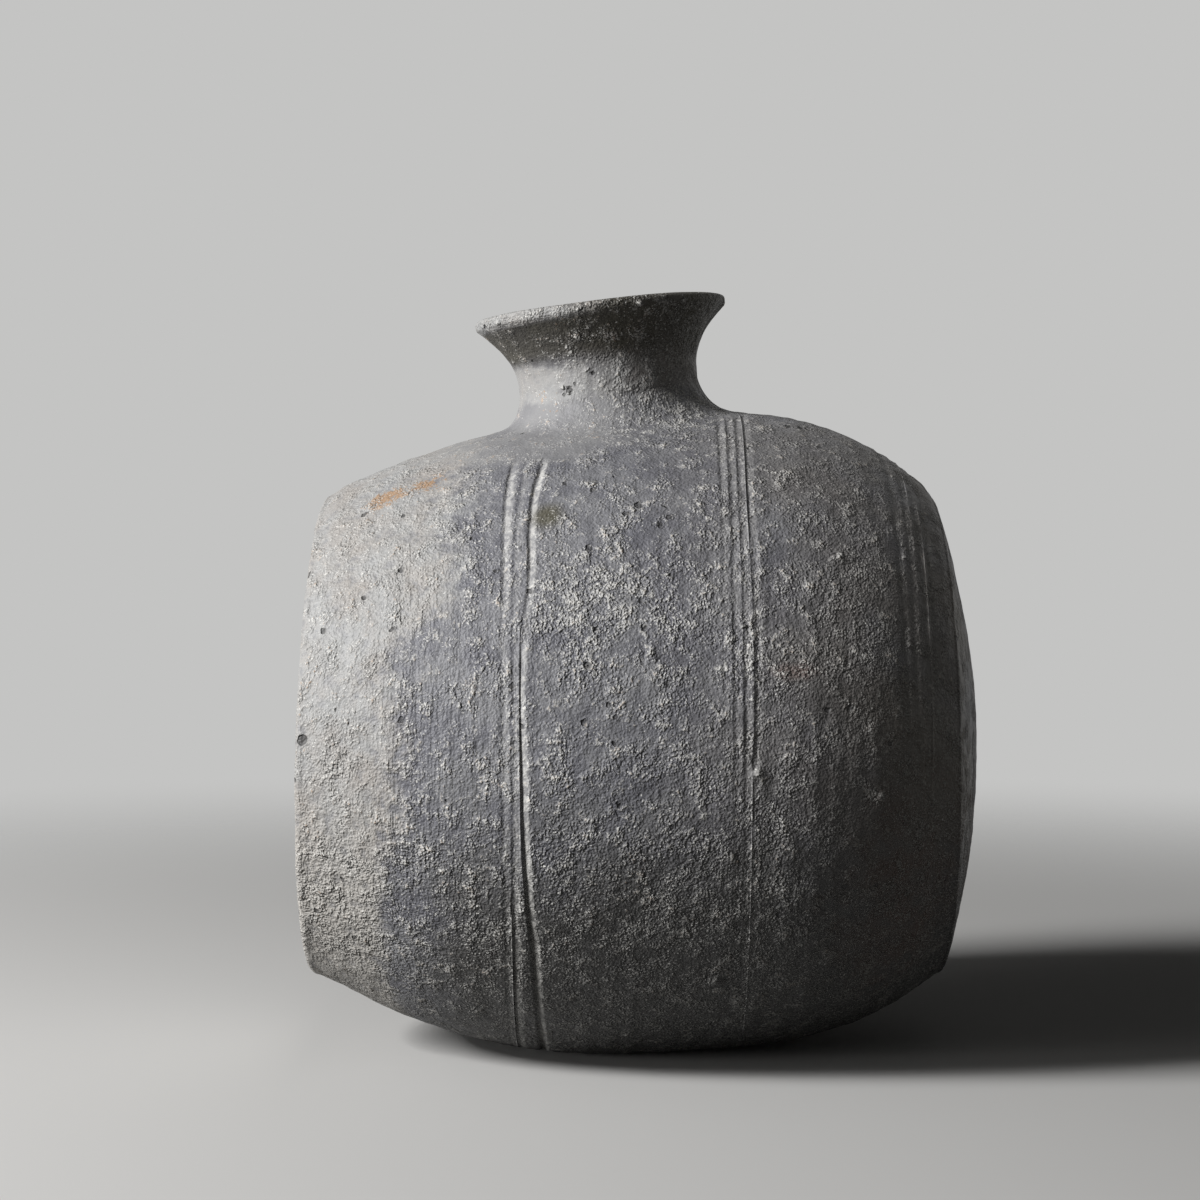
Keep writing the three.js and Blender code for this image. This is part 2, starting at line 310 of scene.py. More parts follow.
def smooth(value):
    """0 below 0, 1 above 1, and an S curve between."""
    t = np.clip(value, 0, 1)
    return t * t * (3 - 2 * t)


def grain(points, size, seed, octaves=2):
    """Noise of about -1 to 1 at each point, with features of about this size."""
    offset = Vector((seed * 17.3, seed * 5.1, seed * 9.7))
    values = [noise.fractal(Vector(p) / size + offset, 1.0, 2.0, octaves) for p in points.reshape(-1, 3)]
    return np.array(values).reshape(points.shape[:-1])


# Form of the barrel


def barrel_radius(x):
    """The turned profile of the barrel between its two ends."""
    to_base = BELLY_RADIUS - BASE_RADIUS
    to_cap = BELLY_RADIUS - CAP_EDGE_RADIUS
    base_side = to_base * np.abs((x - BELLY_X) / (BELLY_X - BASE_X)) ** BASE_SIDE_POWER
    cap_side = to_cap * np.abs((x - BELLY_X) / (CAP_EDGE_X - BELLY_X)) ** CAP_SIDE_POWER
    return BELLY_RADIUS - np.where(x < BELLY_X, base_side, cap_side)


def axis_height(x):
    """Height of the barrel's bowed axis."""
    return AXIS_Z + SAG_HEIGHT * np.cos(np.pi * (x - SAG_TOP_X) / SAG_REACH)


def end_lean(x, above):
    """How far a point of either end is drawn along X by that end's lean."""
    base_share = np.clip((BASE_JOINT_X - x) / BASE_THICKNESS, 0, 1)
    cap_share = np.clip((x - CAP_JOINT_X) / CAP_SEAT, 0, 1)
    return (base_share * math.tan(BASE_LEAN) - cap_share * math.tan(CAP_LEAN)) * above


def on_barrel(x, angle, radius):
    """Points at x, an angle in degrees and a radius from the barrel's axis."""
    turn = np.radians(angle)
    above = radius * np.sin(turn)
    parts = (x + end_lean(x, above), -radius * np.cos(turn), axis_height(x) + above)
    return np.stack(np.broadcast_arrays(*parts), axis=-1)


def barrel_place(x, angle):
    return on_barrel(x, angle, barrel_radius(x))


def unevenness(points, layers):
    """How far the hand-made surface stands off the turned form."""
    return sum(height * grain(points, size, seed, octaves) for height, size, seed, octaves in layers)


def throwing(x):
    """Height of the faint rings that the potter's fingers left."""
    drift = 2 * np.sin(x / RING_DRIFT)
    return RING_HEIGHT * np.sin(x / FINE_RING + drift) + RING_HEIGHT * np.sin(x / WIDE_RING)


def cut_across(offset):
    """A line's depth, as a share, at an offset along X from its middle."""
    left = (offset - CUT_LEFT) / (CUT_BOTTOM - CUT_LEFT)
    right = (CUT_RIGHT - offset) / (CUT_RIGHT - CUT_BOTTOM)
    return np.clip(np.minimum(left, right), 0, 1)


def line_shift(u, angle):
    """How far the surface's rings are drawn along X, so that they follow the wandering lines."""
    knots = [BASE_JOINT_X]
    shifts = [0 * angle[0]]
    for line in LINES:
        shift = curve_round(angle[0], line["run"]) - line["x"]
        knots += [line["x"] + CUT_LEFT, line["x"] + CUT_RIGHT]
        shifts += [shift, shift]
    knots.append(CAP_JOINT_X)
    shifts.append(0 * angle[0])
    columns = [np.interp(u[:, 0], knots, column) for column in np.stack(shifts).T]
    return np.stack(columns, axis=1)


def line_relief(u, angle):
    """Height of the surface at the lines: cut into the clay, with a low bank pushed up on either side."""
    cut = np.zeros(np.broadcast(u, angle).shape)
    bank = np.zeros(cut.shape)
    for line in LINES:
        offset = u - line["x"]
        depth = curve_round(angle, line["depth"])
        cut = np.maximum(cut, cut_across(offset) * depth)
        bank += LEFT_BANK * depth * np.exp(-(((offset - CUT_LEFT + BANK_AWAY) / BANK_WIDTH) ** 2))
        bank += RIGHT_BANK * depth * np.exp(-(((offset - CUT_RIGHT - BANK_AWAY) / BANK_WIDTH) ** 2))
    return bank - cut


def wiped(points, softness):
    """1 where the clay round the neck's foot was wiped smooth, falling to 0 past its edge."""
    x, y, z = points[..., 0], points[..., 1], points[..., 2]
    direction = np.degrees(np.arctan2(y, x - FOOT_X))
    edge = curve_round(direction, WIPED_REACH)
    inside = smooth((edge - np.hypot(x - FOOT_X, y)) / softness + 0.5)
    return np.where(z > AXIS_Z, inside, 0)


def spot_relief(points, pits, lumps, place):
    """Height of the single pits and lumps at each point."""
    height = np.zeros(points.shape[:-1])
    for spots, rise in ((pits, -SPOT_RISE), (lumps, SPOT_RISE)):
        for along, angle, radius in spots:
            away = np.linalg.norm(points - place(along, angle), axis=-1) / (radius * SPOT_SPREAD)
            height += rise * radius * np.exp(-(away**2))
    return height


def barrel_spots(points):
    return spot_relief(points, PITS, LUMPS, barrel_place)


def rested(points):
    """Flattens the belly where the jar lies, with a soft edge."""
    points = points.copy()
    z = points[..., 2]
    points[..., 2] = (z + np.sqrt(z**2 + FLAT_EDGE_SOFTNESS**2)) / 2
    return points


def skin(u, angle):
    """The outer surface of the barrel's wall at nominal places u along X and angles in degrees."""
    x = u + line_shift(u, angle)
    radius = barrel_radius(x)
    plain = on_barrel(x, angle, radius)
    worked = (line_relief(u, angle) + throwing(x)) * (1 - wiped(plain, WIPED_EDGE))
    radius = radius + unevenness(plain, BARREL_LAYERS) + worked + barrel_spots(plain)
    return on_barrel(x, angle, radius)


def skin_at_end(x):
    """The outer surface beyond the wall's ends, where no lines are cut."""
    radius = barrel_radius(x)
    plain = on_barrel(x, barrel_angles, radius)
    radius = radius + unevenness(plain, BARREL_LAYERS) + throwing(x) + barrel_spots(plain)
    return on_barrel(x, barrel_angles, radius)


def end_face(x, radius, outwards):
    """Points of an end's face, made uneven along X, and along the radius too near its rim."""
    plain = on_barrel(x, barrel_angles, radius)
    off = unevenness(plain, BARREL_LAYERS)
    rim = np.clip(radius / BASE_RADIUS, 0, 1)
    return on_barrel(x + outwards * off * FACE_UNEVENNESS, barrel_angles, radius + off * rim)


# Meshes


def mesh_piece(name, points, faces):
    """A smooth-shaded mesh object from points in millimetres and faces as index tuples."""
    mesh = bpy.data.meshes.new(name)
    mesh.from_pydata((points.reshape(-1, 3) * MM).tolist(), [], faces)
    mesh.polygons.foreach_set("use_smooth", [True] * len(mesh.polygons))
    mesh.update()
    piece = bpy.data.objects.new(name, mesh)
    bpy.context.scene.collection.objects.link(piece)
    return piece


def ring_faces(rings, around, closed):
    """Quads between neighbouring rings of points, and between the last and the first if closed."""
    faces = []
    for i in range(rings if closed else rings - 1):
        a = i * around
        b = ((i + 1) % rings) * around
        faces += [(a + j, a + (j + 1) % around, b + (j + 1) % around, b + j) for j in range(around)]
    return faces


def torus_piece(name, rings):
    """A closed piece whose outline, given ring by ring, runs back into itself."""
    return mesh_piece(name, rings, ring_faces(rings.shape[0], rings.shape[1], True))


def capped_piece(name, rings, first, last):
    """A closed piece that starts and ends in a single point on its axis."""
    count, around = rings.shape[:2]
    points = np.concatenate([rings.reshape(-1, 3), [first, last]])
    faces = ring_faces(count, around, False)
    start = count * around
    tail = (count - 1) * around
    faces += [(j, start, (j + 1) % around) for j in range(around)]
    faces += [(tail + (j + 1) % around, start + 1, tail + j) for j in range(around)]
    return mesh_piece(name, points, faces)


def wall_stations():
    """Places of the wall's outer rings: at set places across each incised line, and evenly between lines."""
    places = [BASE_JOINT_X, BASE_JOINT_X + JOINT_HOLD, CAP_JOINT_X - JOINT_HOLD, CAP_JOINT_X]
    places += [line["x"] + offset for line in LINES for offset in LINE_RINGS]
    places.sort()
    stations = []
    for start, end in zip(places, places[1:]):
        steps = math.ceil((end - start) / COARSE_STEP)
        stations += [start + (end - start) * i / steps for i in range(steps)]
    return np.array([*stations, CAP_JOINT_X])


def barrel_wall():
    outer = skin(wall_stations()[:, None], barrel_angles)
    inner_x = np.linspace(CAP_JOINT_X, BASE_JOINT_X, INNER_RINGS)[:, None]
    inner = on_barrel(inner_x, barrel_angles, barrel_radius(inner_x) - WALL)
    wall = torus_piece("barrel_wall_fine", np.concatenate([rested(outer), inner]))
    cut_bore(wall)
    return wall


def cut_bore(wall):
    """Opens the wall under the neck, as wide as the neck's bore."""
    bore = WAIST_RADIUS - NECK_WALL
    rings = np.stack([neck_points(h, bore, neck_angles[0]) for h in BORE_REACH])
    first, last = (neck_points(h, 0, np.zeros(1))[0] for h in BORE_REACH)
    cutter = capped_piece("bore_cutter", rings, first, last)
    cut = wall.modifiers.new("bore", "BOOLEAN")
    cut.operation = "DIFFERENCE"
    cut.object = cutter
    cut.solver = "EXACT"
    bpy.context.view_layer.objects.active = wall
    bpy.ops.object.modifier_apply(modifier=cut.name)
    bpy.data.objects.remove(cutter)


def base_disc():
    side_x = np.arange(BASE_JOINT_X - SIDE_STEP, BASE_X + BASE_EDGE_ROUND, -SIDE_STEP)
    side_x = np.concatenate([[BASE_JOINT_X, BASE_JOINT_X - JOINT_HOLD], side_x])[:, None]
    side = skin_at_end(side_x + 0 * barrel_angles)
    edge = barrel_radius(BASE_X + BASE_EDGE_ROUND)
    turns = np.radians(np.linspace(8, 90, 8))[:, None] + 0 * barrel_angles
    rim_x = BASE_X + BASE_EDGE_ROUND * (1 - np.sin(turns))
    rim = end_face(rim_x, edge - BASE_EDGE_ROUND * (1 - np.cos(turns)), -1)
    face_radius = np.linspace(edge - BASE_EDGE_ROUND, FACE_MIDDLE, FACE_RINGS)[1:, None] + 0 * barrel_angles
    face = end_face(BASE_X + 0 * face_radius, face_radius, -1)
    back = on_barrel(BASE_JOINT_X, barrel_angles, FACE_MIDDLE + 0 * barrel_angles)
    rings = np.concatenate([back, side, rim, face])
    first = (BASE_JOINT_X, 0, axis_height(BASE_JOINT_X))
    return capped_piece("base_disc_fine", rings, first, face[-1].mean(axis=0))


def closing_cap():
    side_x = np.linspace(CAP_JOINT_X + CAP_FIRST_STEP, CAP_EDGE_X - CAP_EDGE_ROUND, 5)
    side_x = np.concatenate([[CAP_JOINT_X, CAP_JOINT_X + JOINT_HOLD], side_x])[:, None]
    side = skin_at_end(side_x + 0 * barrel_angles)
    turns = np.radians(np.linspace(12, 78, 5))[:, None] + 0 * barrel_angles
    ridge_radius = barrel_radius(CAP_EDGE_X - CAP_EDGE_ROUND) - CAP_EDGE_ROUND * (1 - np.cos(turns))
    ridge = end_face(CAP_EDGE_X - CAP_EDGE_ROUND * (1 - np.sin(turns)), ridge_radius, 1)
    share = np.linspace(0.985, 0.02, DOME_RINGS)[:, None] + 0 * barrel_angles
    dome = end_face(CAP_EDGE_X + (CAP_TOP_X - CAP_EDGE_X) * (1 - share**2), CAP_EDGE_RADIUS * share, 1)
    hollow_share = np.linspace(0.02, 1, INNER_RINGS)[:, None]
    hollow_depth = CAP_TOP_X - CAP_THICKNESS - CAP_JOINT_X
    seat = barrel_radius(CAP_JOINT_X) - WALL
    hollow = on_barrel(CAP_JOINT_X + hollow_depth * (1 - hollow_share**2), barrel_angles, seat * hollow_share)
    rings = np.concatenate([hollow, side, ridge, dome])
    first = (CAP_JOINT_X + hollow_depth, 0, axis_height(CAP_JOINT_X + hollow_depth))
    return capped_piece("closing_cap_fine", rings[:, ::-1], first, dome[-1].mean(axis=0))


def base_coil():
    angles = barrel_angles[:, ::2]
    corner = barrel_radius(BASE_JOINT_X) - WALL - COVE_CLEARANCE
    turns = np.radians(np.linspace(0, 90, INNER_RINGS))[:, None] + 0 * angles
    x = BASE_JOINT_X + COVE_RADIUS * (1 - np.sin(turns))
    cove = on_barrel(x, angles, corner - COVE_RADIUS * (1 - np.cos(turns)))
    cove[..., 0] = np.maximum(cove[..., 0] + unevenness(cove, COIL_LAYERS), BASE_JOINT_X + COVE_LIFT)
    back = on_barrel(BASE_JOINT_X, angles, corner + 0 * angles)
    return torus_piece("base_luting_coil_fine", np.concatenate([back, cove]))


def neck_points(height, radius, angle):
    """Points at a height above the waist and a radius from the neck's leaning axis."""
    turn = np.radians(angle)
    across = radius * np.cos(turn)
    x = NECK_X + across * math.cos(LEAN) - height * math.sin(LEAN)
    y = radius * np.sin(turn)
    z = BELLY_TOP_Z + WAIST_ABOVE_BELLY + across * math.sin(LEAN) + height * math.cos(LEAN)
    return np.stack(np.broadcast_arrays(x, y, z), axis=-1)


def neck_radius(height):
    share = np.maximum(0, height) / (WAIST_TO_LIP - LIP_HEIGHT)
    return WAIST_RADIUS + (LIP_RADIUS - LIP_STEP - WAIST_RADIUS) * share**FLARE_POWER


def neck_place(height, angle):
    return neck_points(height, neck_radius(height), angle)


def lip_outline():
    """The lip as (height, radius) pairs, from the end of the flare over the top to the inside."""
    under = WAIST_TO_LIP - LIP_HEIGHT
    half = LIP_THICKNESS / 2
    step_corner = [(0.5, 0.35), (1.1, 0.05)]
    outline = [(under + up, LIP_RADIUS - inwards) for up, inwards in step_corner]
    for degrees in range(0, 181, 12):
        turn = math.radians(degrees)
        height = WAIST_TO_LIP - LIP_ROUND * (1 - math.sin(turn))
        outline.append((height, LIP_RADIUS - half + half * math.cos(turn)))
    return outline


def neck():
    heights = np.linspace(NECK_START, WAIST_TO_LIP - LIP_HEIGHT, NECK_RINGS)
    outline = [(h, neck_radius(h)) for h in heights]
    outline += lip_outline()
    outline += [(h, neck_radius(h) - NECK_WALL) for h in heights[::-1][1:]]
    height = np.array([h for h, _ in outline])[:, None]
    radius = np.array([r for _, r in outline])[:, None]
    plain = neck_points(height, radius, neck_angles)
    off = unevenness(plain, NECK_LAYERS) + spot_relief(plain, NECK_PITS, NECK_LUMPS, neck_place)
    body = neck_points(height, radius + off, neck_angles)
    rim_wave = unevenness(neck_points(WAIST_TO_LIP, LIP_RADIUS, neck_angles), RIM_LAYERS)
    body[..., 2] += rim_wave * smooth(height / WAIST_TO_LIP)
    foot_outer = on_surface(neck_points(NECK_FOOT, WAIST_RADIUS, neck_angles))
    foot_inner = on_surface(neck_points(NECK_FOOT, WAIST_RADIUS - NECK_WALL, neck_angles))
    return torus_piece("neck_fine", np.concatenate([foot_outer, body, foot_inner]))


def barrel_surface_z(x, y):
    """Height of the barrel's outer surface over a place, with its unevenness."""
    radius = barrel_radius(x)
    angle = np.degrees(np.arctan2(np.sqrt(radius**2 - y**2), -y))
    radius = radius + unevenness(on_barrel(x, angle, radius), BARREL_LAYERS)
    return axis_height(x) + np.sqrt(radius**2 - y**2)


def on_surface(points):
    """The points moved up or down to lie just above the barrel."""
    points = points.copy()
    points[..., 2] = barrel_surface_z(points[..., 0], points[..., 1]) + FOOT_LIFT
    return points


def leaned(x, y, z):
    """Points laid on the barrel, sheared so that they lean as the neck does."""
    return np.stack(np.broadcast_arrays(x + (BELLY_TOP_Z - z) * math.tan(LEAN), y, z), axis=-1)


def luting_collar():
    """The clay smoothed round the neck's foot, from the neck's surface out to a thin edge on the barrel."""
    neck_side = neck_points(-COLLAR_BELOW_WAIST, WAIST_RADIUS, neck_angles)
    inside = WAIST_RADIUS - COLLAR_OVERLAP + unevenness(neck_side, NECK_LAYERS)
    share = 1 - (1 - np.linspace(0, 1, COLLAR_RINGS)) ** COLLAR_CROWDING
    share = share[:, None] + 0 * neck_angles
    turn = np.radians(neck_angles)
    radius = COLLAR_RADIUS + (inside - COLLAR_RADIUS) * share
    x = FOOT_X + radius * np.cos(turn) / math.cos(LEAN)
    y = radius * np.sin(turn)
    surface = barrel_surface_z(x, y)
    sweep = COLLAR_SWEEP - COLLAR_SWEEP_CHANGE * np.cos(turn)
    climb = (WAIST_ABOVE_BELLY - COLLAR_BELOW_WAIST) * (1 - (1 - share**sweep) ** COLLAR_CLIMB_POWER)
    plain = np.stack([x, y, surface + climb], axis=-1)
    smear = unevenness(plain, COLLAR_LAYERS) * np.sin(np.pi * share)
    lift = COLLAR_LIFT * smooth(share / 0.2) - COLLAR_EDGE_SUNK * (1 - smooth(share / 0.12))
    outer = leaned(x, y, surface + climb + smear + lift)
    underside = [leaned(x[[i]], y[[i]], surface[[i]] - depth) for i, depth in COLLAR_UNDERSIDE]
    return torus_piece("neck_luting_collar_fine", np.concatenate([outer, *underside]))


# Marks of the firing, and painted light and shade, written on each piece's points for the material to read


def oval(points, patch):
    """An oval patch's strength in its middle, falling to 0 at its edge."""
    strength, x, angle, reach_x, reach_around = patch
    above = points[:, 2] - axis_height(points[:, 0])
    turn = np.degrees(np.arctan2(above, -points[:, 1]))
    across = (points[:, 0] - x) / reach_x
    along = np.radians((turn - angle + 180) % 360 - 180) * np.hypot(points[:, 1], above) / reach_around
    return strength * np.clip(1 - np.hypot(across, along), 0, 1)


def strongest(points, patches):
    """The largest value of some oval patches at each point."""
    return np.max([oval(points, patch) for patch in patches], axis=0)


def polished_and_lit_walls(points, angle):
    """1 on the wide right wall of a deep line, which the tool left smooth and pale, and which is painted
    paler as a highlight, more towards the left.
    """
    wall = np.zeros(len(points))
    middle = (CUT_BOTTOM + CUT_RIGHT) / 2
    for line in LINES:
        away = (points[:, 0] - curve_round(angle, line["run"]) - middle) / POLISH_WIDTH
        depth = curve_round(angle, line["depth"])
        wall = np.maximum(wall, np.clip(depth / POLISH_DEPTH, 0, 1) * np.exp(-(away**4)))
    stronger_at_left = np.clip(0.8 - points[:, 0] / 60, 0.5, 1)
    return wall * stronger_at_left * (1 - wiped(points, WIPED_EDGE))


def marks(points):
    """The large marks of ash, flashing and wiping, and of painted light and shade, as a value from 0 to 1 at
    each point.
    """
    x = points[:, 0]
    above = points[:, 2] - axis_height(x)
    angle = np.degrees(np.arctan2(above, -points[:, 1]))
    from_axis = np.hypot(points[:, 1], above)
    ash_and_neck_light = np.clip(0.5 + (curve_round(angle, ASH_EDGE) - x) / curve_round(angle, ASH_FADE), 0, 1)
    wipe = wiped(points, WIPED_FADE)

    height = points[:, 2] - BELLY_TOP_Z - WAIST_ABOVE_BELLY - (x - NECK_X) * math.tan(LEAN)
    on_neck = smooth((height - NECK_START) / NECK_GROWTH)
    leftwards = (NECK_X - x) / WAIST_RADIUS
    lip = smooth((height - LIP_START) / LIP_GROWTH)
    # Painted light: the neck is paler on its left side, towards the light, and at the left end of its lip,
    # and paler at its foot, where the clay was wiped
    neck_wiped_and_lit = np.clip(0.55 + 0.45 * leftwards, 0, 1) * (1 - 0.85 * smooth((height - 1) / 7))
    neck_wiped_and_lit = np.maximum(neck_wiped_and_lit, lip * np.clip(0.2 + 0.8 * leftwards, 0, 1))
    # Painted shade under the lip, growing up the neck, lighter at the lip's left end
    neck_shade_under_lip = np.clip(smooth((height - 1) / 8) * 0.9 - 0.5 * lip * np.clip(leftwards, 0, 1), 0, 1)
    neck_grit = np.clip(0.55 - leftwards * 0.8, 0, 1)

    # The wiped clay is gritty again at the right of the neck's foot, and less pale there, partly as painted
    # shade on the side away from the light
    foot = wipe * np.clip(0.35 - 0.6 * leftwards, 0, 0.8)
    speckle = strongest(points, SPECKLED)
    grit = sum((oval(points, patch) for patch in GRITTY), 0.35) + 0.5 * foot

    # Low on the barrel's front the sand shows more, with painted glints on its grains, and away from the flat
    # end the clay there is painted darker, as shade on the underside
    low = smooth((LOW_START - angle) / LOW_GROWTH) * smooth((angle + 180) / LOW_GROWTH)
    low = low * smooth((from_axis - LOW_FROM_AXIS) / LOW_FROM_AXIS_GROWTH)
    underside_shade = low * smooth((x - UNDERSIDE_SHADE_START) / UNDERSIDE_SHADE_GROWTH)

    def blend(on_barrel_value, on_neck_value):
        return on_barrel_value * (1 - on_neck) + on_neck_value * on_neck

    return {
        # On the neck the ash and wiped colours paint the light on its left side and lip
        "ash_and_neck_light": blend(ash_and_neck_light, neck_wiped_and_lit),
        "wiped": blend(wipe - 0.6 * foot, np.clip(neck_wiped_and_lit * 1.1, 0, 1) * (1 - 0.7 * lip)),
        "polished_and_lit": polished_and_lit_walls(points, angle),
        "warm": blend(np.clip((x - WARM_START) / WARM_GROWTH, 0, 1), neck_grit),
        # Painted shade on the underside of the barrel's front
        "underside_shade": blend(underside_shade, 0),
        "low": blend(low, 0),
        "under_lip_shade": blend(0, neck_shade_under_lip),
        "speckle": blend(np.maximum(speckle, foot), np.maximum(0.5 * neck_grit, 0.3 * lip)),
        "grit": blend(np.clip(grit + 0.2 * speckle, 0, 1), np.maximum(0.1 + 0.4 * neck_grit, 0.7 * lip)),
        "combed": strongest(points, COMBED),
        "rust": strongest(points, RUSTY),
        # On the neck the olive tint follows the painted shade under the lip
        "olive_stain_and_lip_shade": blend(strongest(points, OLIVE_STAINED), 0.35 * neck_shade_under_lip),
        "red": strongest(points, RED_STREAKED),
    }


def paint(piece):
    """Writes the marks on the piece's points."""
    mesh = piece.data
    points = np.empty(len(mesh.vertices) * 3)
    mesh.vertices.foreach_get("co", points)
    for name, values in marks(points.reshape(-1, 3) / MM).items():
        mesh.attributes.new(name, "FLOAT", "POINT").data.foreach_set("value", values.astype(np.float32))


# Material

# Noise in the clay, as (size of the features, detail, roughness)
BROAD = (45, 3, 0.6)
ASH_CLOUDS = (20, 4, 0.65)
BLOTCHES = (14, 4, 0.6)
GRIT_PATCHES = (9, 2, 0.6)
COARSE = (4.5, 1, 0.5)
CRUST = (1.6, 1, 0.6)
FINE = (0.65, 0)
SPECKS = (0.42, 0)
COMBING = (1.1, 1, 0.6)
COMBING_STRETCH = (1.0, 0.1, 0.1)
WOBBLE_SCALE = 0.9

# Grains of sand and holes, by the size of the cells that they lie in. A grain's reach and the slope at its
# edge are shares of a cell.
GRAIN_SIZE = 1.5
SMALL_GRAIN_SIZE = 0.8
HOLE_SIZE = 3.1
HOLE_DENSITY = 0.03
GRAIN_LEAST_REACH = 0.18
GRAIN_REACH_RANGE = 0.3
GRAIN_SLOPE = 0.2
FAR_FROM_SPOTS = 9.0


class Nodes:
    """Short names for building a node tree."""

    def __init__(self, tree):
        self.tree = tree
        self.tree.nodes.clear()

    def add(self, kind, **settings):
        node = self.tree.nodes.new(kind)
        for key, value in settings.items():
            setattr(node, key, value)
        return node

    def link(self, value, socket):
        if isinstance(value, bpy.types.NodeSocket):
            self.tree.links.new(value, socket)
        else:
            socket.default_value = value

    def math(self, operation, a, b=0.0):
        node = self.add("ShaderNodeMath", operation=operation)
        self.link(a, node.inputs[0])
        self.link(b, node.inputs[1])
        return node.outputs[0]

    def total(self, *terms):
        """The sum of (value, factor) terms."""
        result = 0.0
        for value, factor in terms:
            result = self.math("ADD", result, self.math("MULTIPLY", value, factor))
        return result

    def noise(self, vector, size, detail=2.0, rough=0.5):
        """Noise centred on 0, with features of this size."""
        node = self.add("ShaderNodeTexNoise")
        self.link(vector, node.inputs["Vector"])
        node.inputs["Scale"].default_value = 1 / size
        node.inputs["Detail"].default_value = detail
        node.inputs["Roughness"].default_value = rough
        return self.math("SUBTRACT", node.outputs["Fac"], 0.5)

    def grains(self, vector, size, density):
        """Grains in a share of this size's cells: 1 on a grain's flat top, falling to 0 at its foot."""
        node = self.add("ShaderNodeTexVoronoi")
        self.link(vector, node.inputs["Vector"])
        node.inputs["Scale"].default_value = 1 / size
        random = self.add("ShaderNodeSeparateColor")
        self.link(node.outputs["Color"], random.inputs[0])
        reach = self.total((random.outputs[0], GRAIN_REACH_RANGE), (1.0, GRAIN_LEAST_REACH))
        top = self.span(self.math("SUBTRACT", reach, node.outputs["Distance"]), 0.0, GRAIN_SLOPE)
        return self.math("MULTIPLY", top, self.math("LESS_THAN", random.outputs[1], density))

    def spots(self, vector, places):
        """1 in the middle of the nearest of some (centre, radius) spots, 0 at its edge, less outside."""
        nearest = FAR_FROM_SPOTS
        for centre, radius in places:
            away = self.add("ShaderNodeVectorMath", operation="DISTANCE")
            self.link(vector, away.inputs[0])
            away.inputs[1].default_value = centre
            nearest = self.math("MINIMUM", nearest, self.math("DIVIDE", away.outputs["Value"], radius))
        return self.math("SUBTRACT", 1.0, nearest)

    def span(self, value, low, high, to_low=0.0, to_high=1.0):
        node = self.add("ShaderNodeMapRange", interpolation_type="SMOOTHSTEP")
        self.link(value, node.inputs["Value"])
        node.inputs["From Min"].default_value = low
        node.inputs["From Max"].default_value = high
        node.inputs["To Min"].default_value = to_low
        node.inputs["To Max"].default_value = to_high
        return node.outputs["Result"]

    def mix(self, share, a, b):
        node = self.add("ShaderNodeMix", data_type="RGBA")
        self.link(share, node.inputs["Factor"])
        self.link(a, node.inputs[6])
        self.link(b, node.inputs[7])
        return node.outputs[2]

    def tint(self, colour, over, share, strength):
        """The colour with a share of another laid over it, up to this strength."""
        return self.mix(self.math("MULTIPLY", share, strength), colour, over)

    def vector(self, operation, a, b):
        node = self.add("ShaderNodeVectorMath", operation=operation)
        self.link(a, node.inputs[0])
        self.link(b, node.inputs[1])
        return node.outputs[0]

    def attribute(self, name):
        return self.add("ShaderNodeAttribute", attribute_name=name).outputs["Fac"]


def tone(red, green, blue):
    """A colour written as 0 to 255 display values, as the linear colour that shaders take."""
    linear = [c / 255 / 12.92 if c <= 10 else ((c / 255 + 0.055) / 1.055) ** 2.4 for c in (red, green, blue)]
    return (*linear, 1.0)


CLAY = tone(128, 128, 131)
CLAY_DARK = tone(104, 104, 110)
CLAY_WARM = tone(108, 103, 97)
# Painted shade on the underside of the barrel's front
CLAY_SHADED_UNDERSIDE = tone(80, 79, 78)
# The ash colours also paint the light on the neck's left side and lip
ASH = tone(159, 159, 158)
ASH_WARM = tone(156, 151, 146)
ASH_THICK = tone(176, 172, 166)
# The wiped colour also paints the light on the neck's left side
WIPED = tone(146, 145, 144)
# Painted shade under the neck's lip
NECK_SHADE_UNDER_LIP = tone(66, 63, 57)
# Pale grains of sand, and the colour of the painted highlights on the lines and glints on the sand
PALE_GRIT_AND_HIGHLIGHT = tone(214, 212, 207)
# Painted shade in the hollows of the sand, in pits and in holes
SHADE_IN_HOLLOWS = tone(44, 43, 44)
RUST = tone(158, 124, 90)
OLIVE = tone(76, 72, 54)
RED_BROWN = tone(112, 84, 72)
ROUGHNESS = (0.5, 0.68)
SHEEN = 0.35


def spot_places(spots, place):
    return [(tuple(place(along, angle)), radius) for along, angle, radius in spots]


